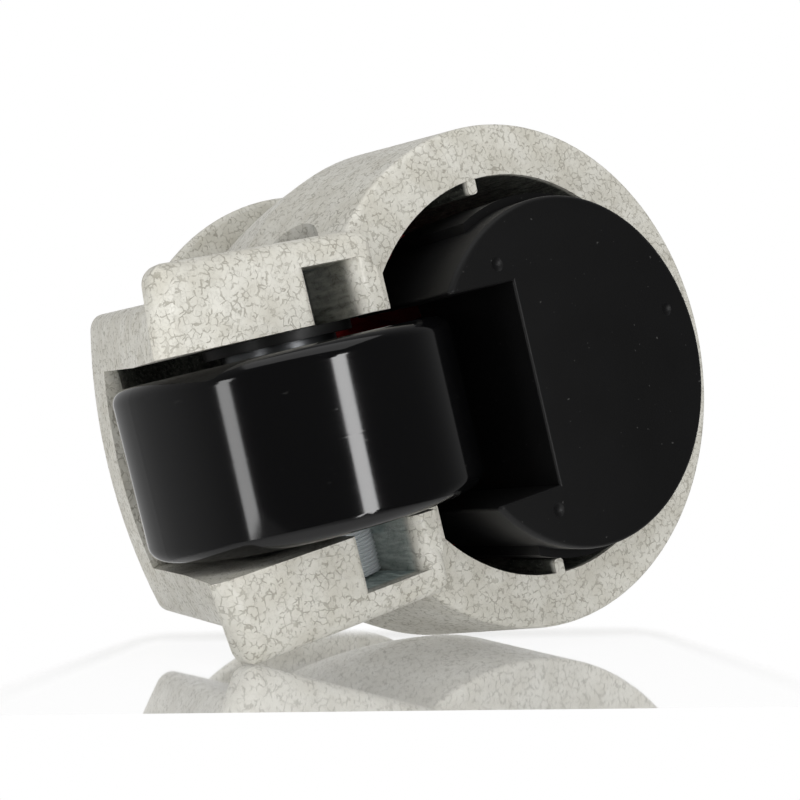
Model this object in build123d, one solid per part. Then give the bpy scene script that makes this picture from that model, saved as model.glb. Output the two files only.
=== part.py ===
from build123d import *
import math
import os

# Levelling castor: a swivel castor whose black foot is screwed down past the
# wheel by a red thumb wheel, so that the same piece rolls and stands.
# Millimetres, +Z up.  The origin is on the swivel axis, on the mounting face
# from which the threaded stud rises.  The wheel trails towards +X.

# ---------------------------------------------------------------- sizes
# Wheel and axle
wheel_radius = 25.0
wheel_width = 25.0
wheel_corner = 2.3
trail = 36.0
wheel_play = 0.4
hub_recess_inner = 12.6
hub_recess_outer = 20.0
hub_recess_depth = 1.5
bush_radius = 8.5
axle_radius = 6.0
washer_radius = 11.0
washer_thickness = 1.4
bolt_head_radius = 9.0
bolt_head_height = 3.8
bolt_head_sink = 4.0
bolt_socket_across = 8.0
bolt_socket_depth = 2.6
bolt_tip_inset = 0.6

# Swivel head and its stud
head_radius = 40.7
head_thickness = 5.0
head_round = 1.0
head_crown = 3.8
stud_radius = 6.0
stud_length = 25.0
stud_chamfer = 1.2
collar_radius = 17.0
collar_height = 3.0
kingpin_radius = 13.5
kingpin_bore = 11.0
kingpin_roof = 5.1
ring_nut_radius = 18.0
ring_nut_height = 3.2
ring_nut_lip = 2.0
ring_nut_slot = 4.0
ring_nut_slot_depth = 2.0

# Ball race between head and housing
ball_count = 16
ball_radius = 2.0
ball_circle = 26.0
race_inner = 22.0
race_outer = 30.0
race_thickness = 2.0
race_gap = 1.4
race_spigot = 1.0
cage_thickness = 0.8
cage_inner = 23.3
cage_outer = 28.7
seal_inner = 30.7
seal_outer = 32.6
seal_depth = 1.0
swivel_washer_thickness = 1.0
thrust_washer_thickness = 1.2
thrust_washer_bore = 6.2

# Thumb wheel and the nut in it
thumb_radius = 30.0
thumb_height = 6.5
thumb_grips = 30
thumb_grip_radius = 1.5
thumb_rim = 5.0
thumb_hub = 12.5
thumb_dish = 1.6
thumb_nut_radius = 7.5
thumb_nut_tail = 17.3
thumb_nut_shoulder = 9.4
thumb_shoulder_height = 1.3
thumb_nut_collar_radius = 10.9
circlip_radius = 9.8
circlip_thickness = 1.2
circlip_groove = 0.6
circlip_gap = 7.0

# Foot and its screw
foot_lift = 2.1
foot_play = 0.8
foot_heel_step = 1.3
foot_heel_front = 12.0
foot_base = 4.8
foot_wall = 3.0
foot_height = 23.0
foot_edge = 0.8
foot_notch_edge = 0.4
foot_dimple_circle = 21.3
foot_dimple_angles = (57, 165, -60)
foot_dimple_radius = 1.6
foot_dimple_depth = 0.4
foot_notch_wall = 9.3
foot_notch_half = 15.1
foot_notch_skin = 1.8
foot_boss_radius = 9.2
foot_boss_height = 16.0
foot_floor = 3.0
screw_radius = 5.0
screw_head_across = 12.0
screw_head_height = 5.0
retainer_thickness = 0.8
retainer_width = 1.2
retainer_notch = 1.0

# Housing: drum, fork and axle arms in one casting
rim_below_axle = 12.5
rim_radius = 38.9
rim_round = 0.9
cavity_draft = 0.5
belly_radius = 41.2
belly_above_axle = 13.0
waist_radius = 38.7
waist_above_axle = 29.0
neck_radius = 34.2
web_thickness = 2.8
roof_drop = 3.3
fork_half_low = 21.7
fork_half_high = 24.7
fork_front_low = 28.0
fork_front_high = 16.1
fork_front_bow = 88.0
fork_corner = 3.0
fork_top_above_axle = 29.0
fork_shoulder_above_axle = 35.0
fork_rear = 12.0
fork_bridge_above_axle = 21.0
pocket_half = 14.5
pocket_flare = 1.0
pocket_clearance = 1.3
arm_below_axle = 15.5
arm_rear = 9.1
arm_half = 26.4
arm_boss_radius = 12.0
arm_lip = 3.5
arm_outer_round = 2.5
arm_lip_round = 1.8
cheek_rear = 12.0
slot_rear = 5.4
slot_outer = 22.4
slot_front_head_side = 2.6
slot_front_tip_side = 4.3
slot_front_round = 1.2
rib_front = 3.0
rib_width = 1.8
rib_proud = 1.7
rib_height = 20.0
window_half_angle = 50.0
window_flare = 4.0

# Clearances
running_gap = 0.05
face_gap = 0.3
swivel_gap = 0.2
screw_gap = 0.05
thumb_gap = 1.3
cavity_gap = 0.5
foot_gap = 4.2
foot_front_gap = 1.5
lip_gap = 0.15
seat_gap = 0.05

# ---------------------------------------------------------------- levels
# Worked out downwards from the mounting face at zero.
head_bottom = -head_thickness
upper_race_bottom = head_bottom - race_thickness
lower_race_top = upper_race_bottom - race_gap
ball_level = (upper_race_bottom + lower_race_top) / 2
web_top = lower_race_top - race_thickness
web_bottom = web_top - web_thickness
swivel_washer_top = web_bottom - swivel_gap
ring_nut_top = swivel_washer_top - swivel_washer_thickness
ring_nut_bottom = ring_nut_top - ring_nut_height
lip_top = ring_nut_bottom + ring_nut_lip
cavity_roof = web_bottom - roof_drop
nut_collar_bottom = lip_top + face_gap
kingpin_roof_level = -kingpin_roof
thrust_washer_bottom = kingpin_roof_level - thrust_washer_thickness
nut_collar_top = thrust_washer_bottom - face_gap
thumb_top = ring_nut_bottom - face_gap - thumb_shoulder_height
thumb_bottom = thumb_top - thumb_height
wheel_top = thumb_bottom - thumb_gap
axle_level = wheel_top - wheel_radius
floor_level = axle_level - wheel_radius
housing_top = lower_race_top + race_thickness
rim_level = axle_level - rim_below_axle
belly_level = axle_level + belly_above_axle
waist_level = axle_level + waist_above_axle
arm_bottom = axle_level - arm_below_axle
foot_bottom = floor_level + foot_lift

# Radii that follow from others
cavity_roof_radius = thumb_radius + cavity_gap
cavity_rim_radius = cavity_roof_radius + cavity_draft
foot_radius = cavity_roof_radius - foot_gap
foot_heel_radius = foot_radius + foot_heel_step
retainer_radius = screw_head_across / 2 + foot_play + seat_gap + retainer_width / 2

# ---------------------------------------------------------------- helpers


def turned(points):
    """A solid of revolution about the swivel axis from (radius, level) points."""
    outline = make_face(Polyline(*points, close=True))
    return revolve(Plane.XZ * outline, Axis.Z)


def ring(inner, outer, bottom, top):
    """A plain ring about the swivel axis."""
    return turned([(inner, bottom), (outer, bottom), (outer, top), (inner, top)])


def disc(radius, bottom, top):
    """A plain disc about the swivel axis."""
    return Pos(0, 0, (bottom + top) / 2) * Cylinder(radius, top - bottom)


def block(x_from, x_to, y_from, y_to, z_from, z_to):
    """A box between two corners."""
    centre = Pos((x_from + x_to) / 2, (y_from + y_to) / 2, (z_from + z_to) / 2)
    return centre * Box(x_to - x_from, y_to - y_from, z_to - z_from)


def axle_rod(radius, y_from, y_to):
    """A cylinder on the axle line, between two y values."""
    centre = Pos(trail, (y_from + y_to) / 2, axle_level)
    return centre * Rot(90, 0, 0) * Cylinder(radius, abs(y_to - y_from))


def hexagon(across, bottom, top):
    """A hexagonal bar about the swivel axis, across flats."""
    outline = RegularPolygon(across / 2, 6, major_radius=False)
    return Pos(0, 0, bottom) * extrude(outline, amount=top - bottom)


def side_outline(points, half_width):
    """An outline in the plane of symmetry, thickened to both sides."""
    face = Plane.XZ * make_face(Polyline(*points, close=True))
    return extrude(face, amount=half_width, both=True)


# ---------------------------------------------------------------- head


def swivel_head():
    """Round plate with a counterbore for the stud's collar and a spigot for the race."""
    bore = kingpin_radius + seat_gap
    sink = collar_radius + seat_gap
    spigot = race_inner - seat_gap
    body = turned([
        (bore, head_bottom - race_spigot),
        (spigot, head_bottom - race_spigot),
        (spigot, head_bottom),
        (head_radius, head_bottom),
        (head_radius, 0),
        (sink, 0),
        (sink, -collar_height),
        (bore, -collar_height),
    ])
    rims = body.edges().filter_by(GeomType.CIRCLE).filter_by(lambda e: abs(e.radius - head_radius) < 0.01)
    body = fillet(rims.sort_by(Axis.Z)[0], head_round)
    rims = body.edges().filter_by(GeomType.CIRCLE).filter_by(lambda e: abs(e.radius - head_radius) < 0.01)
    return fillet(rims.sort_by(Axis.Z)[-1], head_crown)


def stem():
    """Threaded stud, collar and hollow kingpin, turned in one piece."""
    return turned([
        (0, kingpin_roof_level),
        (kingpin_bore, kingpin_roof_level),
        (kingpin_bore, ring_nut_bottom + ring_nut_lip),
        (kingpin_radius, ring_nut_bottom + ring_nut_lip),
        (kingpin_radius, -collar_height),
        (collar_radius, -collar_height),
        (collar_radius, 0),
        (stud_radius, 0),
        (stud_radius, stud_length - stud_chamfer),
        (stud_radius - stud_chamfer, stud_length),
        (0, stud_length),
    ])


def kingpin_nut():
    """Slotted ring nut that closes the kingpin and traps the thumb nut with its lip."""
    body = turned([
        (thumb_nut_shoulder + lip_gap, ring_nut_bottom),
        (ring_nut_radius, ring_nut_bottom),
        (ring_nut_radius, ring_nut_top),
        (kingpin_radius, ring_nut_top),
        (kingpin_radius, lip_top),
        (thumb_nut_shoulder + lip_gap, lip_top),
    ])
    reach = 2 * ring_nut_radius
    for angle in (0, 90):
        slot = block(-reach, reach, -ring_nut_slot / 2, ring_nut_slot / 2, 0, ring_nut_slot_depth)
        inside = disc(ring_nut_radius - ring_nut_slot_depth, 0, ring_nut_slot_depth)
        body -= Pos(0, 0, ring_nut_bottom) * Rot(0, 0, angle) * (slot - inside)
    return body


def race(bottom, groove_level):
    """Race ring with a round groove for the balls."""
    groove = revolve(Plane.XZ * Pos(ball_circle, groove_level) * Circle(ball_radius + running_gap), Axis.Z)
    return ring(race_inner, race_outer, bottom, bottom + race_thickness) - groove


def on_ball_circle(piece):
    """Copies of a piece on the circle of balls."""
    copies = []
    for index in range(ball_count):
        copies.append(Rot(0, 0, 360 * index / ball_count) * Pos(ball_circle, 0, ball_level) * piece)
    return copies


def bearing_balls():
    """The balls of the swivel race."""
    return Compound(children=on_ball_circle(Sphere(ball_radius)))


def ball_cage():
    """Flat cage that keeps the balls apart."""
    body = ring(cage_inner, cage_outer, ball_level - cage_thickness / 2, ball_level + cage_thickness / 2)
    for hole in on_ball_circle(Cylinder(ball_radius + running_gap, 2 * cage_thickness)):
        body -= hole
    return body


def dust_seal():
    """Seal ring in the top of the housing, just under the head."""
    return ring(seal_inner, seal_outer, housing_top - seal_depth, head_bottom - face_gap)


def swivel_washer():
    """Low-friction washer between ring nut and housing web."""
    return ring(kingpin_radius + seat_gap, ring_nut_radius, ring_nut_top, swivel_washer_top)


def thrust_washer():
    """Washer on the roof of the kingpin that takes the thrust of the thumb nut."""
    return ring(thrust_washer_bore, kingpin_bore - seat_gap, thrust_washer_bottom, kingpin_roof_level)


# ---------------------------------------------------------------- thumb wheel


def thumb_wheel():
    """Moulded hand wheel: thick gripped rim, thin web, hub with a hexagonal bore."""
    body = turned([
        (0, thumb_bottom),
        (thumb_hub, thumb_bottom),
        (thumb_hub + thumb_dish, thumb_bottom + thumb_dish),
        (thumb_radius - thumb_rim - thumb_dish, thumb_bottom + thumb_dish),
        (thumb_radius - thumb_rim, thumb_bottom),
        (thumb_radius, thumb_bottom),
        (thumb_radius, thumb_top),
        (thumb_radius - thumb_rim, thumb_top),
        (thumb_radius - thumb_rim - thumb_dish, thumb_top - thumb_dish),
        (thumb_hub + thumb_dish, thumb_top - thumb_dish),
        (thumb_hub, thumb_top),
        (0, thumb_top),
    ])
    for index in range(thumb_grips):
        grip = Pos(thumb_radius + thumb_grip_radius / 3, 0, 0) * disc(thumb_grip_radius, thumb_bottom, thumb_top)
        body -= Rot(0, 0, 360 * index / thumb_grips) * grip
    return body - hexagon(2 * (thumb_nut_radius + seat_gap), thumb_bottom, thumb_top)


def thumb_nut():
    """Long threaded nut: hexagonal seat for the hand wheel, collar trapped in the kingpin."""
    tail_bottom = thumb_bottom - thumb_nut_tail
    groove_top = thumb_bottom
    groove_bottom = groove_top - circlip_thickness - seat_gap
    groove_radius = thumb_nut_radius - circlip_groove
    bore = screw_radius + screw_gap
    body = turned([
        (bore, tail_bottom),
        (thumb_nut_radius, tail_bottom),
        (thumb_nut_radius, groove_bottom),
        (groove_radius, groove_bottom),
        (groove_radius, groove_top),
        (thumb_nut_radius, groove_top),
        (thumb_nut_radius, thumb_top),
        (thumb_nut_shoulder, thumb_top),
        (thumb_nut_shoulder, nut_collar_bottom),
        (thumb_nut_collar_radius, nut_collar_bottom),
        (thumb_nut_collar_radius, nut_collar_top),
        (bore, nut_collar_top),
    ])
    seat = hexagon(2 * thumb_nut_radius, thumb_bottom, thumb_top) - disc(bore, thumb_bottom, thumb_top)
    return body + seat


def thumb_circlip():
    """Open snap ring that holds the hand wheel on the nut."""
    inner = thumb_nut_radius - circlip_groove
    body = ring(inner, circlip_radius, thumb_bottom - circlip_thickness, thumb_bottom)
    gap = block(-2 * circlip_radius, 0, -circlip_gap / 2, circlip_gap / 2, thumb_bottom - circlip_thickness, thumb_bottom)
    return body - gap


# ---------------------------------------------------------------- foot


def foot():
    """Black moulded foot: notched plate, wall with a wider heel, boss for the screw."""
    base_top = foot_bottom + foot_base
    wall_top = foot_bottom + foot_height
    reach = 2 * foot_heel_radius
    inner = foot_radius - foot_wall
    body = disc(foot_radius, foot_bottom, wall_top)
    heel = ring(inner, foot_heel_radius, base_top, wall_top)
    body += heel - block(foot_heel_front, reach, -reach, reach, base_top, wall_top)
    body -= disc(inner, base_top, wall_top)
    # walls of the notch for the wheel, open upwards behind it
    back = foot_notch_wall - foot_notch_skin
    cheek = foot_notch_half + foot_wall
    walls = block(back, foot_radius, -cheek, cheek, base_top, wall_top)
    body += walls & disc(inner + seat_gap, base_top, wall_top)
    body -= block(foot_notch_wall, reach, -foot_notch_half, foot_notch_half, foot_bottom, wall_top)
    front = trail - cheek_rear - foot_front_gap
    body -= block(front, reach, -reach, reach, foot_bottom, wall_top)
    # soft edges of the face
    face_edges = body.faces().sort_by(Axis.Z)[0].edges()
    body = fillet(face_edges.filter_by(GeomType.CIRCLE), foot_edge)
    face_edges = body.faces().sort_by(Axis.Z)[0].edges()
    body = fillet(face_edges.filter_by(GeomType.LINE), foot_notch_edge)
    # boss, and a pocket in which the head of the screw has play
    boss_top = foot_bottom + foot_boss_height
    body += disc(foot_boss_radius, base_top, boss_top)
    pocket_floor = foot_bottom + foot_floor
    head_top = pocket_floor + screw_head_height
    body -= hexagon(screw_head_across + 2 * (foot_play + seat_gap), pocket_floor, head_top)
    body -= disc(retainer_radius + seat_gap, head_top, boss_top)
    for angle in foot_dimple_angles:
        pit_centre = foot_bottom - foot_dimple_radius + foot_dimple_depth
        body -= Rot(0, 0, angle) * Pos(foot_dimple_circle, 0, pit_centre) * Sphere(foot_dimple_radius)
    return Pos(0, -foot_play, 0) * body


def foot_screw():
    """Screw with a hexagonal head in the foot, rising behind the wheel into the thumb nut."""
    head_bottom_level = foot_bottom + foot_floor
    head_top = head_bottom_level + screw_head_height
    screw_top = nut_collar_top - face_gap
    shank = disc(screw_radius, head_bottom_level, screw_top)
    shank = chamfer(shank.edges().sort_by(Axis.Z)[-1], stud_chamfer)
    return shank + hexagon(screw_head_across, head_bottom_level, head_top)


def foot_retainer():
    """Notched spring ring pressed into the foot over the corners of the screw's head."""
    bottom = foot_bottom + foot_floor + screw_head_height
    top = bottom + retainer_thickness
    inner = retainer_radius - retainer_width
    body = ring(inner, retainer_radius, bottom, top)
    for index in range(6):
        notch = block(0, inner + retainer_width / 3, -retainer_notch / 2, retainer_notch / 2, bottom, top)
        body -= Rot(0, 0, 60 * index) * notch
    return Pos(0, -foot_play, 0) * body


# ---------------------------------------------------------------- wheel and axle


def wheel():
    """Solid black wheel with rounded edges, a recess in each side and a plain bore."""
    half = wheel_width / 2
    bore = bush_radius + running_gap
    outline = [
        (bore, -half),
        (hub_recess_inner, -half),
        (hub_recess_inner, -half + hub_recess_depth),
        (hub_recess_outer, -half + hub_recess_depth),
        (hub_recess_outer, -half),
        (wheel_radius, -half),
        (wheel_radius, half),
        (hub_recess_outer, half),
        (hub_recess_outer, half - hub_recess_depth),
        (hub_recess_inner, half - hub_recess_depth),
        (hub_recess_inner, half),
        (bore, half),
    ]
    body = turned(outline)
    rims = body.edges().filter_by(GeomType.CIRCLE).filter_by(lambda e: abs(e.radius - wheel_radius) < 0.01)
    body = fillet(rims, wheel_corner)
    return Pos(trail, -wheel_play, axle_level) * Rot(90, 0, 0) * body


def axle_bush():
    """Steel tube clamped between the arms, on which the wheel turns."""
    half = pocket_half - seat_gap
    return axle_rod(bush_radius, -half, half) - axle_rod(axle_radius + seat_gap, -half, half)


def axle_washers():
    """A thin washer at each arm, round the bush."""
    sides = []
    for side in (-1, 1):
        outer = side * (pocket_half - seat_gap)
        inner = outer - side * washer_thickness
        bore = axle_rod(bush_radius + seat_gap, inner, outer)
        sides.append(axle_rod(washer_radius, inner, outer) - bore)
    return Compound(children=sides)


def axle_bolt():
    """Axle bolt with a sunk socket head on one arm and its thread in the other."""
    seat = arm_half - bolt_head_sink
    head_outer = seat + bolt_head_height
    tip = -arm_half + bolt_tip_inset
    body = axle_rod(axle_radius, tip, seat) + axle_rod(bolt_head_radius, seat, head_outer)
    socket = Plane.XZ.offset(-head_outer) * Pos(trail, axle_level) * RegularPolygon(bolt_socket_across / 2, 6, major_radius=False)
    return body - extrude(socket, amount=bolt_socket_depth)


# ---------------------------------------------------------------- housing


def drum_shell():
    """Outer form of the drum: drafted skirt up to the belly, then a rounded neck."""
    skirt = Polyline((0, rim_level), (rim_radius, rim_level), (belly_radius, belly_level))
    shoulder = ThreePointArc((belly_radius, belly_level), (waist_radius, waist_level), (neck_radius, housing_top))
    crown = Polyline((neck_radius, housing_top), (0, housing_top), (0, rim_level))
    body = revolve(Plane.XZ * make_face(skirt + shoulder + crown), Axis.Z)
    rim = body.edges().filter_by(GeomType.CIRCLE).sort_by(Axis.Z)[0]
    return fillet(rim, rim_round)


def bowed_plan(front, half):
    """Plan with a bowed front and square corners, from the middle of the drum forward."""
    side_front = front - (fork_front_bow - math.sqrt(fork_front_bow ** 2 - half ** 2))
    bow = ThreePointArc((side_front, -half), (front, 0), (side_front, half))
    rest = Polyline((side_front, half), (fork_rear, half), (fork_rear, -half), (side_front, -half))
    return make_face(bow + rest)


def fork_plan(front, half):
    """Plan of the fork at one level: bowed front, rounded corners."""
    outline = bowed_plan(front, half)
    corners = outline.vertices().filter_by(lambda v: v.X > fork_rear + face_gap)
    return fillet(corners, fork_corner)


def fork():
    """Fork block: drafted sides, leaning bowed front, sloping top."""
    low = Pos(0, 0, arm_bottom) * fork_plan(trail + fork_front_low, fork_half_low)
    top_level = axle_level + fork_shoulder_above_axle
    high = Pos(0, 0, top_level) * fork_plan(trail + fork_front_high, fork_half_high)
    body = loft([low, high], ruled=True)
    bottom_edges = body.faces().sort_by(Axis.Z)[0].edges()
    body = fillet(bottom_edges.filter_by(lambda e: e.center().X > trail), arm_outer_round)
    front = trail + fork_front_low
    slope = [
        (belly_radius - fork_corner, top_level + face_gap),
        (front, axle_level + fork_top_above_axle - fork_corner),
        (front, top_level + face_gap),
    ]
    lip = trail - arm_rear
    lean = (arm_boss_radius - arm_rear) / (arm_below_axle - arm_lip)
    under = [
        (0, arm_bottom - face_gap),
        (lip, arm_bottom - face_gap),
        (lip, arm_bottom),
        (lip - lean * (rim_level - arm_bottom), rim_level),
        (0, rim_level),
    ]
    return body - side_outline(slope, arm_half) - side_outline(under, arm_half)


def arm_boss():
    """Thick lower ends of the fork round the axle, with a leaning front face."""
    front = fork_front_low
    reach = math.hypot(front, arm_below_axle)
    lean = math.atan2(-arm_below_axle, front) + math.acos(arm_boss_radius / reach)
    tangent = (trail + arm_boss_radius * math.cos(lean), axle_level + arm_boss_radius * math.sin(lean))
    top = (trail, axle_level + arm_boss_radius)
    rear = (trail - arm_boss_radius, axle_level)
    half_way = lean / 2 + math.pi / 4
    over = (trail + arm_boss_radius * math.cos(half_way), axle_level + arm_boss_radius * math.sin(half_way))
    behind = (trail - arm_boss_radius * math.sqrt(0.5), axle_level + arm_boss_radius * math.sqrt(0.5))
    crown = ThreePointArc(tangent, over, top) + ThreePointArc(top, behind, rear)
    rear_foot = (trail - arm_boss_radius, axle_level - arm_lip)
    lip = (trail - arm_rear, arm_bottom)
    bottom = (trail + front, arm_bottom)
    rest = Polyline(rear, rear_foot, lip, bottom, tangent)
    outline = make_face(crown + rest)
    lip_corner = outline.vertices().filter_by(lambda v: abs(v.Y - arm_bottom) < 0.01).sort_by(Axis.X)[0]
    outline = fillet(lip_corner, arm_lip_round)
    body = extrude(Plane.XZ * outline, amount=arm_half, both=True)
    plan = bowed_plan(trail + front, arm_half)
    body &= Pos(0, 0, arm_bottom) * extrude(plan, amount=2 * arm_boss_radius + arm_below_axle)
    ends = body.faces().sort_by(Axis.Y)
    body = fillet(ends[0].edges() + ends[-1].edges(), arm_outer_round)
    return body - bow_edge(trail + front)


def bow_edge(front):
    """Metal outside the rounded lower edge of the bowed front."""
    span = arm_outer_round + face_gap
    block = Pos(front - arm_outer_round + span / 2, arm_bottom + arm_outer_round - span / 2) * Rectangle(span, span)
    hollow = Pos(front - arm_outer_round, arm_bottom + arm_outer_round) * Circle(arm_outer_round)
    return revolve(Plane.XZ * (block - hollow), Axis((front - fork_front_bow, 0, 0), (0, 0, 1)))


def wheel_pocket():
    """Room for the wheel: round above the axle, open to the front and below, wider at the top."""
    half = pocket_half + pocket_flare
    front = 2 * wheel_radius + trail
    bridge = axle_level + fork_bridge_above_axle
    low = axle_level - 2 * wheel_radius
    room = axle_rod(wheel_radius + pocket_clearance, -half, half)
    room += block(trail, front, -half, half, low, bridge)
    room += block(0, front, -half, half, low, axle_level)
    top = axle_level + wheel_radius + pocket_clearance
    section = [
        (-pocket_half, low),
        (pocket_half, low),
        (pocket_half, axle_level),
        (half, top),
        (-half, top),
        (-pocket_half, axle_level),
    ]
    flared = extrude(Plane.YZ * make_face(Polyline(*section, close=True)), amount=front)
    return room & flared


def cavity():
    """Inside of the drum, with the arms' rear ends left standing in it."""
    room = turned([(0, rim_level), (cavity_rim_radius, rim_level), (cavity_roof_radius, cavity_roof), (0, cavity_roof)])
    cheeks_top = thumb_bottom - cavity_gap
    cheek_front = trail - cheek_rear
    cheeks = block(cheek_front, 2 * trail, -arm_half, arm_half, rim_level, cheeks_top)
    return room - cheeks


def bore_stack():
    """Bores of the web, from the ring nut's pocket up to the race seat."""
    nut_pocket = disc(ring_nut_radius + cavity_gap, cavity_roof, web_bottom)
    kingpin_hole = disc(kingpin_radius + cavity_gap, web_bottom, web_top)
    race_seat = disc(race_outer + seat_gap, web_top, housing_top)
    seal_groove = ring(seal_inner - seat_gap, seal_outer + seat_gap, housing_top - seal_depth, housing_top)
    return nut_pocket + kingpin_hole + race_seat + seal_groove


def thumb_window():
    """Flared window at the back, through which the hand wheel is turned."""
    low = thumb_bottom - cavity_gap
    high = cavity_roof
    inner = cavity_roof_radius - cavity_gap
    outer = belly_radius + cavity_gap
    face = make_face(Polyline((inner, low), (outer, low - window_flare), (outer, high + window_flare), (inner, high), close=True))
    wedge = revolve(Plane.XZ * face, Axis.Z, revolution_arc=2 * window_half_angle)
    return Rot(0, 0, 180 - window_half_angle) * wedge


def arm_slot(front, inner, outer):
    """Slot cut up into an arm from below as far as the axle, with rounded mouth."""
    rear = trail - slot_rear
    low = arm_bottom - face_gap
    half_root = math.sqrt(0.5)
    rear_bend = (rear - arm_lip_round * (1 - half_root), arm_bottom + arm_lip_round * (1 - half_root))
    front_bend = (front + slot_front_round * (1 - half_root), arm_bottom + slot_front_round * (1 - half_root))
    rear_arc = ThreePointArc((rear, arm_bottom + arm_lip_round), rear_bend, (rear - arm_lip_round, arm_bottom))
    front_arc = ThreePointArc((front + slot_front_round, arm_bottom), front_bend, (front, arm_bottom + slot_front_round))
    mouth = Polyline(rear_arc @ 1, (rear - arm_lip_round, low), (front + slot_front_round, low), front_arc @ 0)
    root = Polyline(front_arc @ 1, (front, axle_level), (rear, axle_level), rear_arc @ 0)
    outline = Plane.XZ * make_face(rear_arc + mouth + front_arc + root)
    return Pos(0, (inner + outer) / 2, 0) * extrude(outline, amount=abs(outer - inner) / 2, both=True)


def arm_slots():
    """The slots of both arms, open to the wheel."""
    inner = pocket_half - face_gap
    head_side = arm_slot(trail + slot_front_head_side, inner, slot_outer)
    return head_side + arm_slot(trail + slot_front_tip_side, -inner, -slot_outer)


def ribs():
    """Two short upright ribs on the inside of the skirt, level with the rim."""
    outer = rim_radius - 2 * rim_round
    reach = cavity_roof_radius - rib_proud
    rear = rib_front + rib_width
    bar = block(rib_front, rear, -outer, outer, rim_level, rim_level + rib_height)
    bar -= disc(reach, rim_level, rim_level + rib_height)
    tips = bar.edges().filter_by(Axis.Z).filter_by(lambda e: math.hypot(e.center().X, e.center().Y) < reach + face_gap)
    return fillet(tips, rib_width / 3)


def housing():
    """Die-cast body: drum, fork and arms in one piece."""
    body = drum_shell() + fork() + arm_boss()
    body -= cavity()
    body -= disc(cavity_roof_radius, thumb_bottom - cavity_gap, cavity_roof)
    body -= wheel_pocket()
    body -= bore_stack()
    body -= thumb_window()
    body += ribs()
    body -= axle_rod(axle_radius + seat_gap, 0, arm_half)
    body -= axle_rod(axle_radius, -arm_half, 0)
    body -= axle_rod(bolt_head_radius + face_gap, arm_half - bolt_head_sink, arm_half + bolt_head_sink)
    return body - arm_slots()


# ---------------------------------------------------------------- all pieces

pieces = {
    "swivel_head": swivel_head(),
    "stem": stem(),
    "kingpin_nut": kingpin_nut(),
    "upper_race": race(upper_race_bottom, ball_level),
    "lower_race": race(web_top, ball_level),
    "bearing_balls": bearing_balls(),
    "ball_cage": ball_cage(),
    "dust_seal": dust_seal(),
    "swivel_washer": swivel_washer(),
    "thrust_washer": thrust_washer(),
    "thumb_wheel": thumb_wheel(),
    "thumb_nut": thumb_nut(),
    "thumb_circlip": thumb_circlip(),
    "foot": foot(),
    "foot_screw": foot_screw(),
    "foot_retainer": foot_retainer(),
    "wheel": wheel(),
    "axle_bush": axle_bush(),
    "axle_washers": axle_washers(),
    "axle_bolt": axle_bolt(),
    "housing": housing(),
}

os.makedirs("parts", exist_ok=True)
for name, piece in pieces.items():
    export_step(piece, "parts/" + name + ".step")
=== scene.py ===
import math

import bmesh
import bpy
from mathutils import Matrix, Vector


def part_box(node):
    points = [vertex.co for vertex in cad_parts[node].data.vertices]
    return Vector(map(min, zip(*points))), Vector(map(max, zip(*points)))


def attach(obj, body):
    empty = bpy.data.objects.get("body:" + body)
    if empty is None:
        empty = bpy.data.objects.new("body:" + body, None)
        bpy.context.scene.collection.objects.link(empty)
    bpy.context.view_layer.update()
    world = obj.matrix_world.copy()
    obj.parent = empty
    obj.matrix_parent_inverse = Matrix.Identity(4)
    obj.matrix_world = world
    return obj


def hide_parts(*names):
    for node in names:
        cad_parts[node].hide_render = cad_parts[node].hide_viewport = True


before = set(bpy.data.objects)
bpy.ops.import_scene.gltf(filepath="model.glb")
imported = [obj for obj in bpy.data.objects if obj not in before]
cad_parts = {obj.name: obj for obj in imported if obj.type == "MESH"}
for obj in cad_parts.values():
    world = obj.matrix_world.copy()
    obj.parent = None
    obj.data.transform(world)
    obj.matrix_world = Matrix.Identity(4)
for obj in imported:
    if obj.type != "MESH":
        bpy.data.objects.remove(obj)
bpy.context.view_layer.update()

# Looks of a levelling castor: hammered ivory paint on the casting and the
# swivel head, a polished black wheel, a satin black foot and zinc steel, with
# real threads on the stud, the foot screw, the axle bolt and the insert in one arm.
# Lengths are metres, in the part's own frame: +Z runs up the stud, and +X from
# the swivel axis to the wheel. Noise and cell scales are per metre.

mm = 0.001


# ---------------------------------------------------------------- shader maths


class Value:
    """A shader socket; arithmetic on it adds Math nodes."""

    def __init__(self, finish, output):
        self.finish = finish
        self.output = output

    def _math(self, operation, first, second=0.0):
        return self.finish.get("ShaderNodeMath", {"operation": operation}, {0: first, 1: second})

    def __add__(self, other):
        return self._math("ADD", self, other)

    def __radd__(self, other):
        return self._math("ADD", other, self)

    def __sub__(self, other):
        return self._math("SUBTRACT", self, other)

    def __rsub__(self, other):
        return self._math("SUBTRACT", other, self)

    def __mul__(self, other):
        return self._math("MULTIPLY", self, other)

    def __rmul__(self, other):
        return self._math("MULTIPLY", other, self)

    def __truediv__(self, other):
        return self._math("DIVIDE", self, other)

    def __pow__(self, other):
        return self._math("POWER", self, other)

    def __abs__(self):
        return self._math("ABSOLUTE", self)

    def most(self, other):
        return self._math("MAXIMUM", self, other)

    def ramp(self, low, high, start=0.0, end=1.0):
        """Runs smoothly from start to end as the value goes from low to high."""
        settings = {"interpolation_type": "SMOOTHSTEP", "clamp": True}
        inputs = {0: self, 1: low, 2: high, 3: start, 4: end}
        return self.finish.get("ShaderNodeMapRange", settings, inputs)


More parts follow.
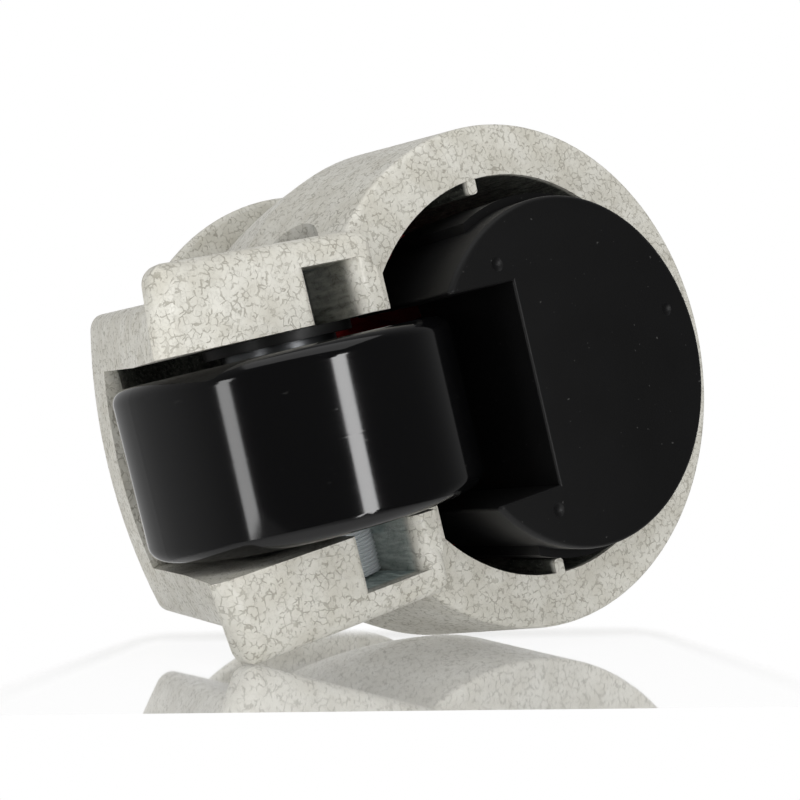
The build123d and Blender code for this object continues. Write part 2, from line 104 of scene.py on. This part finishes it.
class Nodes:
    """A node tree that is written as expressions on its sockets."""

    def __init__(self, tree):
        self.tree = tree

    def node(self, kind, settings, inputs):
        made = self.tree.nodes.new(kind)
        for key, value in settings.items():
            setattr(made, key, value)
        for key, value in inputs.items():
            if isinstance(value, Value):
                self.tree.links.new(value.output, made.inputs[key])
            else:
                made.inputs[key].default_value = value
        return made

    def get(self, kind, settings, inputs, output=0):
        return Value(self, self.node(kind, settings, inputs).outputs[output])

    def vector(self, operation, inputs, output=0):
        return self.get("ShaderNodeVectorMath", {"operation": operation}, inputs, output)

    def parts(self, place):
        """The x, y and z of a place or direction."""
        split = self.node("ShaderNodeSeparateXYZ", {}, {"Vector": place})
        return [Value(self, output) for output in split.outputs]

    def rays(self, *names):
        """1 for rays of the kinds that are named, such as Is Camera Ray."""
        path = self.node("ShaderNodeLightPath", {}, {})
        return [Value(self, path.outputs[name]) for name in names]


class Finish(Nodes):
    """One material: a Principled shader and the nodes that feed it."""

    def __init__(self, name, **constants):
        self.material = bpy.data.materials.new(name)
        self.material.use_nodes = True
        super().__init__(self.material.node_tree)
        self.shader = self.tree.nodes["Principled BSDF"]
        self.place = self.get("ShaderNodeTexCoord", {}, {}, "Object")
        for socket, value in constants.items():
            self.shader.inputs[socket.replace("_", " ")].default_value = value

    def noise(self, scale, detail=2.0, place=None):
        inputs = {"Vector": place or self.place, "Scale": scale, "Detail": detail}
        return self.get("ShaderNodeTexNoise", {}, inputs, "Fac")

    def cell_edge(self, scale, place):
        """Distance to the nearest edge of rounded cells, in cells."""
        settings = {"feature": "DISTANCE_TO_EDGE"}
        inputs = {"Vector": place, "Scale": scale}
        return self.get("ShaderNodeTexVoronoi", settings, inputs, "Distance")

    def shifted(self, scale, amount):
        """The place, pushed about by a noise of a given scale and amount."""
        inputs = {"Vector": self.place, "Scale": scale, "Detail": 2.0}
        push = self.get("ShaderNodeTexNoise", {}, inputs, "Color")
        middle = self.vector("SUBTRACT", {0: push, 1: (0.5, 0.5, 0.5)})
        sized = self.vector("SCALE", {0: middle, "Scale": amount})
        return self.vector("ADD", {0: self.place, 1: sized})

    def stretched(self, scales):
        """The place, scaled differently along x, y and z."""
        return self.get("ShaderNodeMapping", {}, {"Vector": self.place, "Scale": scales})

    def mix(self, share, first, second):
        """Mixes two colours; the sockets numbered 6, 7 and 2 are the node's colour ones."""
        colours = [c if isinstance(c, Value) else (*c, 1.0) for c in (first, second)]
        inputs = {0: share, 6: colours[0], 7: colours[1]}
        return self.get("ShaderNodeMix", {"data_type": "RGBA"}, inputs, 2)

    def bump(self, height, distance, strength=1.0):
        inputs = {"Height": height, "Distance": distance, "Strength": strength}
        return self.get("ShaderNodeBump", {}, inputs, "Normal")

    def feed(self, **links):
        for socket, value in links.items():
            self.tree.links.new(value.output, self.shader.inputs[socket.replace("_", " ")])
        return self.material


# ---------------------------------------------------------------- levels of the model

rim_above_arms = 3.0 * mm
cavity_gap = 1.0 * mm
slot_inner, slot_outer = 14.5 * mm, 22.6 * mm
slot_half_length = 5.45 * mm
well_half = 17.0 * mm

wheel_low, wheel_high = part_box("wheel")
axle = (wheel_low + wheel_high) / 2
wheel_radius = wheel_high.z - axle.z
arm_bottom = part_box("housing")[0].z
rim_level = arm_bottom + rim_above_arms
cavity_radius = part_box("thumb_wheel")[1].y + cavity_gap


# ---------------------------------------------------------------- finishes


def srgb(red, green, blue):
    """A colour given as it shows, 0 to 255, as linear light."""
    return tuple(((v / 255 + 0.055) / 1.055) ** 2.4 for v in (red, green, blue))


def crack_lines(finish, scale, push, widest):
    """Broken lines between rounded cells: 0 on the cells and 1 in the lines."""
    edge = finish.cell_edge(scale, finish.shifted(1.1 * scale, push))
    width = finish.noise(1.1 * scale, detail=1.0).ramp(0.42, 0.6, end=widest)
    return 1 - (edge / (width + 0.002)).ramp(0.4, 1.0)


def hammered(finish):
    """Colour, cracks and height of the hammered ivory paint."""
    coarse = crack_lines(finish, scale=900, push=1.1 * mm, widest=0.1)
    fine = crack_lines(finish, scale=1500, push=0.7 * mm, widest=0.09)
    cracks = coarse.most(fine * 0.32)
    cloud = finish.noise(230, detail=3.0).ramp(0.3, 0.7)
    depth = finish.noise(420).ramp(0.3, 0.7, start=0.32, end=0.56)
    body = finish.mix(cloud, srgb(199, 196, 185), srgb(212, 210, 201))
    colour = finish.mix(cracks * depth, body, srgb(112, 106, 90))
    dents = finish.noise(330, detail=1.0)
    height = dents * 1.5 - cracks * 0.3 + finish.noise(1700) * 0.1
    return colour, cracks, height


paint_roughness = 0.32
paint_bump = {"distance": 0.4 * mm, "strength": 0.6}


def ivory_paint():
    """Hammered stove paint on the swivel head."""
    finish = Finish("ivory_hammered_paint")
    colour, cracks, height = hammered(finish)
    finish.feed(
        Base_Color=colour,
        Roughness=paint_roughness + cracks * 0.3,
        Normal=finish.bump(height, **paint_bump),
    )
    return finish.material


def past(value, level, blur):
    """0 before a level and 1 past it; the change is as wide as blur."""
    return value.ramp(level - blur / 2, level + blur / 2)


def bare_and_painted_light_places(x, y, z):
    """1 inside the arm slots, and 1 where the casting has no paint: in the slots, inside the
    drum's cavity and deep in the wheel pocket. The dark tone these places take is partly painted
    shade, and the pale tone of the slot walls is painted light.
    """
    side, along, up = abs(y), x - axle.x, z - axle.z
    radius = (x * x + y * y) ** 0.5
    reach = (along * along + up * up) ** 0.5
    # Inside the drum's cavity the casting is bare; the dark tone it takes there is partly painted
    # shade of the deep gap.
    drum = 1 - past(radius, cavity_radius + 0.45 * mm, 0.5 * mm)
    drum = drum * past(z, rim_level + 0.7 * mm, 1 * mm)
    slot = past(side, slot_inner, 0.4 * mm) * (1 - past(side, slot_outer, 0.3 * mm))
    slot = slot * (1 - past(abs(along), slot_half_length, 0.3 * mm))
    slot = slot * (1 - past(up, 0.5 * mm, 1 * mm)) * past(z, arm_bottom + 2.3 * mm, 2.2 * mm)
    # Painted shade: further up into the wheel pocket, away from its mouth, the casting turns bare
    # and dark.
    pocket_bare_and_shade = (1 - past(side, well_half, 0.8 * mm)) * past(z, arm_bottom + 6.5 * mm, 5 * mm)
    pocket_bare_and_shade = pocket_bare_and_shade * (1 - past(reach, wheel_radius + 2.5 * mm, 0.6 * mm))
    pocket_bare_and_shade = pocket_bare_and_shade * (1 - past(along, 16 * mm, 4 * mm))
    return slot, drum.most(slot).most(pocket_bare_and_shade)


def casting():
    """The same paint on the housing; inside, the casting is bare and rough. Its dark tone inside
    the drum and deep in the wheel pocket is partly painted shade, and the slot walls are painted
    pale as painted light.
    """
    finish = Finish("painted_casting")
    colour, cracks, height = hammered(finish)
    x, y, z = finish.parts(finish.place)
    slot, bare_and_painted_light = bare_and_painted_light_places(x, y, z)
    speck = finish.noise(2400, detail=3.0).ramp(0.58, 0.7)
    streaks = finish.noise(1.0, detail=3.0, place=finish.stretched((1500, 1500, 330)))
    tone = streaks.ramp(0.3, 0.7)
    tip_side = 1 - past(y, 0.0, 2 * mm)
    # Painted light: the slot walls keep the bare casting's green-grey tint but are painted far
    # paler than it, standing in for light that does not reach into the narrow slots; the tip
    # side's copy is paler still.
    painted_light_slot_wall = finish.mix(tone, srgb(118, 118, 106), srgb(186, 186, 172))
    painted_light_tip_wall = finish.mix(tone, srgb(150, 168, 166), srgb(216, 228, 224))
    # Dark bare casting; this darkness is partly painted shade of the deep cavity and pocket.
    bare_tone_and_painted_light = finish.mix(tone, srgb(46, 48, 44), srgb(92, 94, 86))
    bare_tone_and_painted_light = finish.mix(slot, bare_tone_and_painted_light, finish.mix(tip_side, painted_light_slot_wall, painted_light_tip_wall))
    bare_tone_and_painted_light = finish.mix(speck * 0.5, bare_tone_and_painted_light, srgb(150, 152, 144))
    finish.feed(
        Base_Color=finish.mix(bare_and_painted_light, colour, bare_tone_and_painted_light),
        Roughness=paint_roughness + cracks * 0.3 + bare_and_painted_light * 0.25,
        Normal=finish.bump(height + bare_and_painted_light * (streaks * 1.6 + speck * 0.5), **paint_bump),
    )
    return finish.material


def grained(name, colour, roughness, scale, depth, metallic=0.0):
    """A finish with fine grain and a little change of tone; depth in millimetres."""
    finish = Finish(name, Metallic=metallic)
    grain = finish.noise(scale, detail=3.0)
    cloud = finish.noise(scale / 8)
    middle = srgb(*colour)
    darker, lighter = (tuple(min(c * share, 1.0) for c in middle) for share in (0.8, 1.2))
    finish.feed(
        Base_Color=finish.mix(grain * 0.6 + cloud * 0.4, darker, lighter),
        Roughness=roughness - 0.05 + grain * 0.1,
        Normal=finish.bump(grain, depth * mm, 0.5),
    )
    return finish.material


def tread():
    """Polished black tread: fine turning rings, a faint mould line and a few scuffs."""
    finish = Finish("black_tread", Specular_IOR_Level=0.42)
    y = finish.parts(finish.place)[1]
    rings = finish.noise(1.0, place=finish.stretched((30, 2200, 30)))
    scuffs = finish.noise(1.0, detail=3.0, place=finish.stretched((330, 1100, 330)))
    scuffs = scuffs.ramp(0.7, 0.76)
    mould_line = 1 - abs(y - axle.y).ramp(0.05 * mm, 0.16 * mm)
    smear = finish.noise(90)
    finish.feed(
        Base_Color=finish.mix(scuffs * 0.6, srgb(4, 4, 5), srgb(34, 34, 33)),
        Roughness=0.055 + rings * 0.03 + smear * 0.05 + scuffs * 0.12,
        Normal=finish.bump(rings * 0.15 + scuffs * 0.4 + mould_line * 0.7, 0.02 * mm, 0.35),
    )
    return finish.material


def moulded_foot():
    """Hard satin black foot with a fine even grain, slight smears and a few pale specks."""
    finish = Finish("black_foot", Specular_IOR_Level=0.3)
    grain = finish.noise(3200)
    smear = finish.noise(60, detail=3.0)
    specks = finish.noise(1500, detail=1.0).ramp(0.765, 0.8)
    body = finish.mix(smear, srgb(6, 6, 6), srgb(12, 12, 13))
    finish.feed(
        Base_Color=finish.mix(specks * 0.4, body, srgb(90, 90, 88)),
        Roughness=0.38 + smear * 0.14,
        Normal=finish.bump(grain, 0.04 * mm, 0.45),
    )
    return finish.material


def steel(name, colour, roughness, plating=0.0):
    """Metal with a fine grain and a cloudy tone, cloudier where it is plated."""
    finish = Finish(name, Metallic=1.0)
    cloud = finish.noise(500, detail=3.0)
    grain = finish.noise(2600)
    darker, lighter = (srgb(*(c * share for c in colour)) for share in (0.9 - plating, 1.06))
    finish.feed(
        Base_Color=finish.mix(cloud, darker, lighter),
        Roughness=roughness + grain * 0.14,
        Normal=finish.bump(grain, 0.02 * mm, 0.5),
    )
    return finish.material


zinc = steel("zinc_steel", (172, 176, 180), 0.24, plating=0.06)
bright_zinc = grained("bright_zinc", (214, 218, 220), 0.3, scale=2600, depth=0.02, metallic=0.5)


# ---------------------------------------------------------------- threads and turned parts

turned_steps = 72
thread_steps = 32
thread_depth = 0.61     # of the pitch
overlap = 0.5 * mm      # of a thread with the plain piece that it grows from
crease = math.radians(28)


def drawn(profile):
    """A form that holds an open line through (radius, height) corners, and its geometry."""
    form = bmesh.new()
    corners = [form.verts.new((radius, 0, height)) for radius, height in profile]
    edges = [form.edges.new(pair) for pair in zip(corners, corners[1:])]
    return form, corners + edges


def turned(profile):
    """A form turned about the z axis from (radius, height) corners."""
    form, line = drawn(profile)
    circle = {"cent": (0, 0, 0), "axis": (0, 0, 1), "angle": 2 * math.pi}
    bmesh.ops.spin(form, geom=line, steps=turned_steps, use_merge=True, **circle)
    return form


def cut_level(form, level, keep_below):
    """Cuts a form off flat at a level and closes the cut."""
    every = form.verts[:] + form.edges[:] + form.faces[:]
    plane = {"plane_co": (0, 0, level), "plane_no": (0, 0, 1 if keep_below else -1)}
    cut = bmesh.ops.bisect_plane(form, geom=every, clear_outer=True, **plane)
    rim = [item for item in cut["geom_cut"] if isinstance(item, bmesh.types.BMEdge)]
    bmesh.ops.holes_fill(form, edges=rim, sides=0)


def thread(radius, pitch, low, high, chamfer):
    """A rolled thread: one ridge spun up its helix, cut level, with a chamfered end at the top."""
    root = radius - thread_depth * pitch
    ridge = ((root, 0.0), (root, 0.1), (radius, 0.44), (radius, 0.56), (root, 0.9), (root, 1.0))
    turns = math.ceil((high - low) / pitch) + 3
    start = low - 1.5 * pitch
    form, line = drawn((out, start + share * pitch) for out, share in ridge)
    rise = {"cent": (0, 0, 0), "axis": (0, 0, 1), "dvec": (0, 0, pitch / thread_steps)}
    sweep = {"angle": 2 * math.pi * turns, "steps": thread_steps * turns}
    bmesh.ops.spin(form, geom=line, **rise, **sweep)
    bmesh.ops.remove_doubles(form, verts=form.verts, dist=0.01 * mm)
    cut_level(form, low, False)
    cut_level(form, high, True)
    for vert in form.verts:
        widest = radius - chamfer + high - vert.co.z
        if vert.co.xy.length > widest:
            vert.co.xy = vert.co.xy.normalized() * widest
    return form


def joined(*forms):
    """One form out of several, with its doubles merged and its faces outwards."""
    whole = forms[0]
    for form in forms[1:]:
        passing = bpy.data.meshes.new("passing")
        form.to_mesh(passing)
        form.free()
        whole.from_mesh(passing)
        bpy.data.meshes.remove(passing)
    bmesh.ops.remove_doubles(whole, verts=whole.verts, dist=0.002 * mm)
    bmesh.ops.recalc_face_normals(whole, faces=whole.faces)
    return whole


def hexagonal(across, low, high):
    """A hexagonal bar along z, with two of its flats square to y."""
    form = bmesh.new()
    corner = across / math.sqrt(3)
    bmesh.ops.create_circle(form, segments=6, radius=corner, cap_ends=True)
    grown = bmesh.ops.extrude_face_region(form, geom=form.faces[:])
    tops = [item for item in grown["geom"] if isinstance(item, bmesh.types.BMVert)]
    bmesh.ops.translate(form, verts=tops, vec=(0, 0, high - low))
    bmesh.ops.translate(form, verts=form.verts, vec=(0, 0, low))
    turn = Matrix.Rotation(math.pi / 6, 3, "Z")
    bmesh.ops.rotate(form, verts=form.verts, cent=(0, 0, 0), matrix=turn)
    return form


def laid_on_axle(form):
    """A form made along z, laid along the axle with its top at the low end of y."""
    turn = Matrix.Rotation(math.pi / 2, 3, "X")
    bmesh.ops.rotate(form, verts=form.verts, cent=(0, 0, 0), matrix=turn)
    bmesh.ops.translate(form, verts=form.verts, vec=(axle.x, 0, axle.z))


def finished(name, form, node, body, material):
    """Makes a form a piece that rides on a body; where a CAD node is named, it stands for that."""
    mesh = bpy.data.meshes.new(name)
    form.to_mesh(mesh)
    form.free()
    mesh.shade_smooth()
    mesh.set_sharp_from_angle(angle=crease)
    mesh.materials.append(material)
    piece = bpy.data.objects.new(name, mesh)
    bpy.context.scene.collection.objects.link(piece)
    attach(piece, body)
    if node:
        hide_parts(node)


def threaded_stem():
    """Stud with its thread, collar and hollow kingpin."""
    low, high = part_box("stem")
    bore, shank, collar = 11.0 * mm, 13.5 * mm, high.x
    roof, collar_low = -5.1 * mm, -3.0 * mm
    edge = 0.4 * mm
    body = turned((
        (0, roof), (bore, roof), (bore, low.z), (shank, low.z), (shank, collar_low),
        (collar, collar_low), (collar, -edge), (collar - edge, 0), (0, 0),
    ))
    stud = thread(6.0 * mm, pitch=1.75 * mm, low=-overlap, high=high.z, chamfer=1.2 * mm)
    finished("threaded_stem", joined(body, stud), "stem", "head", zinc)


def levelling_screw():
    """Foot screw: its thread and the hexagonal head that sits in the foot."""
    low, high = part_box("foot_screw")
    head_top = low.z + 5.0 * mm
    head = hexagonal(high.y - low.y, low.z, head_top)
    start = head_top - overlap
    shank = thread(5.0 * mm, pitch=1.5 * mm, low=start, high=high.z, chamfer=1.2 * mm)
    finished("levelling_screw", joined(head, shank), "foot_screw", "levelling_foot", zinc)


def sunk_socket(form, across, face, depth):
    """Closes the open face of a head round a hexagonal socket of a given depth along z."""
    rim = [edge for edge in form.edges if edge.is_boundary]
    lift = Matrix.Translation((0, 0, face))
    hexagon = bmesh.ops.create_circle(form, segments=6, radius=across / math.sqrt(3), matrix=lift)
    mouth = list({edge for vert in hexagon["verts"] for edge in vert.link_edges})
    bmesh.ops.triangle_fill(form, use_beauty=True, edges=rim + mouth)
    walls = bmesh.ops.extrude_edge_only(form, edges=mouth)["geom"]
    floor = [item for item in walls if isinstance(item, bmesh.types.BMVert)]
    bmesh.ops.translate(form, verts=floor, vec=(0, 0, depth))
    bmesh.ops.contextual_create(form, geom=floor)


def threaded_axle():
    """Axle bolt: round socket head, plain shank and the thread in the far arm."""
    low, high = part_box("axle_bolt")
    head_radius, shank_radius, socket_rim = high.z - axle.z, 6.0 * mm, 5.4 * mm
    # Along z, with the tip upwards.
    face, seat, shank_end, tip_end = -high.y, -high.y + 3.8 * mm, 14.0 * mm, -low.y
    edge = 0.5 * mm
    shank = turned((
        (0, shank_end), (shank_radius, shank_end), (shank_radius, seat), (head_radius, seat),
        (head_radius, face + edge), (head_radius - edge, face), (socket_rim, face),
    ))
    sunk_socket(shank, across=8.0 * mm, face=face, depth=2.6 * mm)
    start = shank_end - overlap
    tip = thread(shank_radius, pitch=1.25 * mm, low=start, high=tip_end, chamfer=0.8 * mm)
    bolt = joined(shank, tip)
    laid_on_axle(bolt)
    finished("threaded_axle", bolt, "axle_bolt", "fork", zinc)


def arm_insert():
    """Fine thread round the bolt's tip; its lower half shows where the arm's slot ends."""
    span = {"low": 15.0 * mm, "high": 22.0 * mm}
    sleeve = thread(7.05 * mm, pitch=0.55 * mm, chamfer=0.1 * mm, **span)
    laid_on_axle(sleeve)
    finished("arm_insert", joined(sleeve), None, "fork", bright_zinc)


arm_insert()
threaded_stem()
levelling_screw()
threaded_axle()


def wear(nodes, material):
    """Gives CAD nodes a finish, in place of their plain one."""
    for name in nodes:
        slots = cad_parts[name].data.materials
        slots.clear()
        slots.append(material)


wear(["swivel_head"], ivory_paint())
wear(["housing"], casting())
wear(["wheel"], tread())
wear(["foot"], moulded_foot())
wear(["kingpin_nut", "thumb_nut"], zinc)
wear(["axle_bush"], steel("oiled_steel", (112, 114, 116), 0.3))
wear(["upper_race", "lower_race", "bearing_balls"], steel("bearing_steel", (186, 188, 190), 0.14))
wear(["foot_retainer", "thumb_circlip"], steel("spring_steel", (70, 70, 74), 0.32))
wear(["thrust_washer"], steel("bronze", (166, 122, 70), 0.3))
wear(["thumb_wheel"], grained("red_nylon", (146, 18, 17), 0.42, scale=1400, depth=0.04))
wear(["dust_seal"], grained("seal_rubber", (26, 26, 26), 0.55, scale=1600, depth=0.05))
wear(["axle_washers"], grained("black_nylon", (18, 18, 18), 0.45, scale=1200, depth=0.04))
white_acetal = grained("white_acetal", (226, 224, 214), 0.4, scale=800, depth=0.02)
wear(["ball_cage", "swivel_washer"], white_acetal)


# ---------------------------------------------------------------- camera


azimuth, elevation, roll = (math.radians(angle) for angle in (5.25, -53.96, 99.06))
aim_from_axle = Vector((-26.04 * mm, 0, 9.81 * mm))
camera_distance = 215 * mm
focal_length = 59.17    # millimetres
nearest_seen = 10 * mm


def view_axes(azimuth, elevation, roll):
    """Right, up and away axes of a camera; away points from what it looks at to the camera."""
    flat = math.cos(elevation)
    away = Vector((flat * math.cos(azimuth), flat * math.sin(azimuth), math.sin(elevation)))
    right = (-away).cross(Vector((0, 0, 1))).normalized()
    up = right.cross(-away)
    rolled_up = up * math.cos(roll) + right * math.sin(roll)
    return (-away).cross(rolled_up), rolled_up, away


def matrix_of(right, up, away, place):
    turn = Matrix((right, up, away)).transposed().to_4x4()
    return Matrix.Translation(place) @ turn


right, up, away = view_axes(azimuth, elevation, roll)
aim = Vector((axle.x, 0, axle.z)) + aim_from_axle
camera_place = aim + away * camera_distance
camera_data = bpy.data.cameras.new("camera")
camera_data.lens = focal_length
camera_data.clip_start = nearest_seen
camera = bpy.data.objects.new("camera", camera_data)
camera.matrix_world = matrix_of(right, up, away, camera_place)
bpy.context.scene.collection.objects.link(camera)
bpy.context.scene.camera = camera


# ---------------------------------------------------------------- floor and light


board_width, board_depth = 92 * mm, 120 * mm
near_edge_angle = math.radians(13.3072)     # below the middle of the view
mirror_share = 0.84
shade_share = 0.8
white = (1, 1, 1, 1)


def resting_plane():
    """Upward normal and level of the board, on which the drum and one arm of the castor lie."""
    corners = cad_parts["housing"].data.vertices
    outline = {(round(corner.co.x, 5), round(corner.co.y, 5)) for corner in corners}
    arm = [(x, y) for x, y in outline if x > axle.x + 15 * mm and y < -15 * mm]
    drum = [(x, y) for x, y in outline if x < axle.x - 15 * mm and y < -30 * mm]
    flat, steep = 0.0, math.radians(40)
    # The lean at which both reach the same level, by halving.
    for _ in range(24):
        lean = (flat + steep) / 2
        normal = (-math.sin(lean), math.cos(lean))
        arm_level, drum_level = (
            min(x * normal[0] + y * normal[1] for x, y in side) for side in (arm, drum)
        )
        flat, steep = (lean, steep) if arm_level > drum_level else (flat, lean)
    return Vector((*normal, 0)), drum_level


def board_finish():
    """White glossy board; it fades out away from the castor and is clear from underneath."""
    material = bpy.data.materials.new("white_board")
    material.use_nodes = True
    material.node_tree.nodes.clear()
    board = Nodes(material.node_tree)

    def blend(share, first, second):
        return board.get("ShaderNodeMixShader", {}, {0: share, 1: first, 2: second})

    glow = board.get("ShaderNodeEmission", {}, {"Color": white, "Strength": 1.0})
    matt = board.get("ShaderNodeBsdfDiffuse", {}, {"Color": white})
    mirror = board.get("ShaderNodeBsdfGlossy", {}, {"Color": white, "Roughness": 0.03})
    clear = board.get("ShaderNodeBsdfTransparent", {}, {})
    camera_ray, glossy_ray = board.rays("Is Camera Ray", "Is Glossy Ray")
    above = 1 - board.get("ShaderNodeNewGeometry", {}, {}, "Backfacing")
    grazing = board.get("ShaderNodeLayerWeight", {}, {"Blend": 0.5}, "Facing")
    across, inward, _ = board.parts(board.get("ShaderNodeTexCoord", {}, {}, "Object"))
    near_castor = 1 - abs(across).ramp(board_width * 0.42, board_width * 0.5)
    near_castor = near_castor * (1 - inward.ramp(board_depth * 0.2, board_depth * 0.5))
    shown = near_castor * above
    shine = blend(grazing.ramp(0.3, 0.7) * mirror_share, blend(0.4, glow, matt), mirror)
    shade = blend(shown * shade_share, clear, matt)
    both = blend(camera_ray.most(glossy_ray) * shown, shade, shine)
    board.node("ShaderNodeOutputMaterial", {}, {"Surface": both})
    return material


def board():
    """The board under the castor; its near edge runs level across the view."""
    upward, level = resting_plane()
    sight = -away - up * math.tan(near_edge_angle)
    reach = (level - camera_place.dot(upward)) / sight.dot(upward)
    near = camera_place + sight * reach
    side = (right - upward * right.dot(upward)).normalized()
    back = upward.cross(side)
    form = bmesh.new()
    bmesh.ops.create_grid(form, x_segments=1, y_segments=1, size=0.5)
    bmesh.ops.scale(form, verts=form.verts, vec=(board_width, board_depth, 1))
    mesh = bpy.data.meshes.new("board")
    form.to_mesh(mesh)
    form.free()
    mesh.materials.append(board_finish())
    sheet = bpy.data.objects.new("board", mesh)
    sheet.matrix_world = matrix_of(side, back, upward, near + back * board_depth / 2)
    bpy.context.scene.collection.objects.link(sheet)


soft_light = 0.65       # strength of the room's own even light


def lamp(name, direction, distance, size, radiance, centre=aim, mirrored=True):
    """A soft box that faces the castor, from a direction along the camera's own three axes."""
    way = (right * direction[0] + up * direction[1] + away * direction[2]).normalized()
    data = bpy.data.lights.new(name, "AREA")
    data.shape = "RECTANGLE"
    data.size, data.size_y = size
    data.energy = radiance * math.pi * size[0] * size[1]
    side = up.cross(way).normalized()
    box = bpy.data.objects.new(name, data)
    box.matrix_world = matrix_of(side, way.cross(side), way, centre + way * distance)
    box.visible_camera = False
    box.visible_glossy = mirrored
    bpy.context.scene.collection.objects.link(box)


def studio():
    """White backdrop behind the castor, and a dimmer room round it with a paler ceiling."""
    world = bpy.data.worlds.new("studio")
    world.use_nodes = True
    world.node_tree.nodes.clear()
    room = Nodes(world.node_tree)
    names = ("Is Camera Ray", "Is Glossy Ray", "Is Transmission Ray")
    camera_ray, glossy_ray, clear_ray = room.rays(*names)
    direction = room.get("ShaderNodeTexCoord", {}, {}, "Generated")
    backdrop = room.vector("DOT_PRODUCT", {0: direction, 1: -away}, "Value").ramp(0.88, 0.96)
    ceiling = room.parts(direction)[2].ramp(-0.6, 0.6)
    mirrored = glossy_ray.most(clear_ray)
    level = mirrored * (0.09 + ceiling * 0.3 + backdrop * 0.6) + (1 - mirrored) * soft_light
    strength = camera_ray.most(level)
    sky = room.get("ShaderNodeBackground", {}, {"Color": white, "Strength": strength})
    room.node("ShaderNodeOutputWorld", {}, {"Surface": sky})
    bpy.context.scene.world = world


board()
studio()
lamp("left_strip", (-0.533, -0.27, 0.81), 0.30, (0.044, 0.24), 6.5, centre=axle)
lamp("right_strip", (0.612, 0.03, 0.79), 0.30, (0.048, 0.17), 12.0, centre=axle)
lamp("overhead", (0.0, 0.9, 0.35), 0.45, (0.50, 0.40), 1.0)
lamp("low_fill", (-0.35, -0.6, 0.7), 0.50, (0.40, 0.40), 1.5, mirrored=False)

bpy.context.scene.view_settings.view_transform = "Standard"
